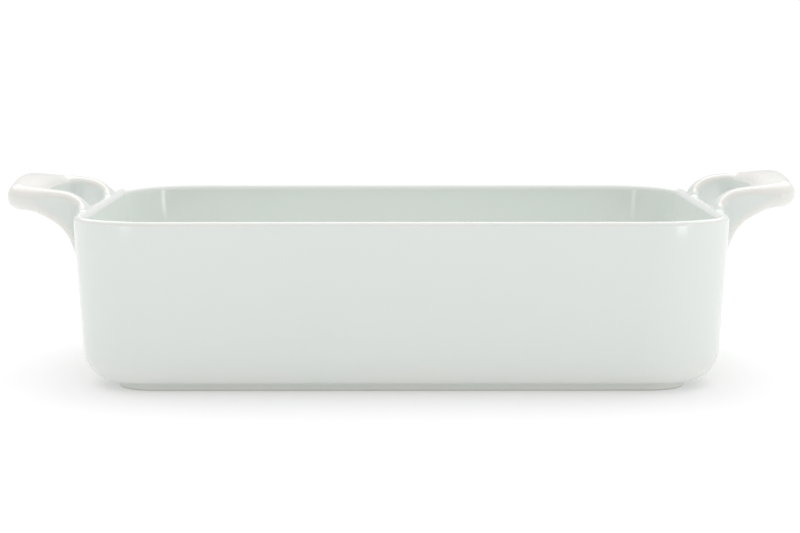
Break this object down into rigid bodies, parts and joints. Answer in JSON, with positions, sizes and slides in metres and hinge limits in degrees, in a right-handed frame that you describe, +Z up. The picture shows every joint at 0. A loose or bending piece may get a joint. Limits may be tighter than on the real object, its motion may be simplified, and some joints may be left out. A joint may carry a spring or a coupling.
{
  "type": "lasagna dish",
  "caption": "Deep rectangular porcelain baking dish with drafted walls, rounded rim and lower edge, bare ground foot ring, and raised loop handles luted on the end walls.",
  "frame": {"origin": "on the table under the middle of the dish, at the bottom centre of the whole object's box", "axes": "+X along the dish's length to the right-hand handle, +Y to the back long wall, +Z up"},
  "size_m": [0.4112, 0.2478, 0.1016],
  "materials": {
    "glazed_porcelain": "gloss white glaze",
    "bare_porcelain": "unglazed, ground matt",
    "glazed_slip": "gloss white glaze over slip"
  },
  "bodies": {
    "root": {"dish_body": "glazed_porcelain", "foot_ring": "bare_porcelain", "left_handle": "glazed_porcelain", "right_handle": "glazed_porcelain", "left_front_slip": "glazed_slip", "left_back_slip": "glazed_slip", "right_front_slip": "glazed_slip", "right_back_slip": "glazed_slip"}
  },
  "joints": []
}
